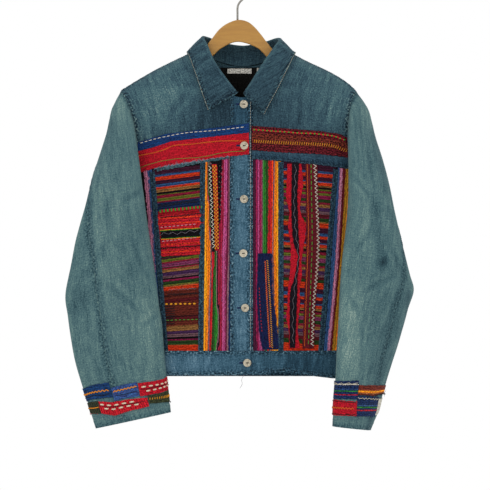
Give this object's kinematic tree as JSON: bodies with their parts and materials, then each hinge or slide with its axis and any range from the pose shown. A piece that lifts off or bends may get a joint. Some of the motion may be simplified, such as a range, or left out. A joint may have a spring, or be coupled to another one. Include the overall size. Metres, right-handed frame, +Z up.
{
  "type": "denim jacket on a hanger",
  "caption": "Buttoned denim jacket with a turned-down collar and woven patchwork fronts, hanging on a curved wooden hanger with a wire hook.",
  "frame": {"origin": "inside top of the hanger's hook, where a rail carries it", "axes": "+Z up, the buttoned fronts face -Y, the wearer's left is at +X"},
  "size_m": [0.6433, 0.1501, 0.8467],
  "materials": {
    "denim": "worn cotton denim",
    "denim_dark": "worn cotton denim",
    "woven_stripe": "coarse woven wool in stripes",
    "woven_red": "coarse woven wool",
    "woven_blue": "coarse woven wool",
    "woven_maroon": "coarse woven wool",
    "braid_black": "woven braid",
    "braid_yellow": "woven braid",
    "lining": "plain lining",
    "label": "woven satin, bare",
    "pearl": "cream pearl",
    "wood": "honey varnish",
    "steel": "bright wire"
  },
  "bodies": {
    "root": {"front_yoke_right": "denim", "front_yoke_left": "denim", "back_yoke": "denim", "back_panel": "denim", "side_front_right": "denim", "side_front_left": "denim", "strip_side_right": "woven_stripe", "panel_a": "woven_stripe", "panel_b": "woven_stripe", "panel_c": "woven_stripe", "panel_d": "woven_stripe", "panel_e": "woven_stripe", "patch_red_a": "woven_red", "braid_zigzag_b": "braid_black", "braid_chevron_b": "braid_yellow", "patch_navy_c": "woven_blue", "strip_red_d": "woven_red", "strip_black_d": "braid_black", "strip_maroon_d": "woven_maroon", "strap_1": "denim_dark", "strap_2": "denim_dark", "strap_3": "denim_dark", "strap_4": "denim_dark", "band_blue_right": "woven_blue", "band_red_right": "woven_red", "band_maroon_left": "woven_maroon", "yoke_strap_left": "denim_dark", "placket_right": "denim", "placket_left": "denim", "waistband_right": "denim_dark", "waistband_left": "denim_dark", "waistband_back": "denim_dark", "collar": "denim", "lining_back": "lining", "label_main": "label", "label_size": "label", "sleeve_right_upper": "denim", "sleeve_right_under": "denim", "sleeve_left_upper": "denim", "sleeve_left_under": "denim", "cuff_right_1": "woven_blue", "cuff_right_2": "woven_blue", "cuff_right_3": "woven_red", "cuff_right_4": "woven_red", "cuff_right_5": "braid_black", "cuff_left_1": "woven_stripe", "cuff_left_2": "woven_blue", "cuff_left_3": "label", "cuff_left_4": "woven_blue", "cuff_left_5": "woven_red", "button_1": "pearl", "button_2": "pearl", "button_3": "pearl", "button_4": "pearl", "button_5": "pearl", "button_6": "pearl", "hanger_body": "wood", "hanger_hook": "steel"}
  },
  "joints": []
}
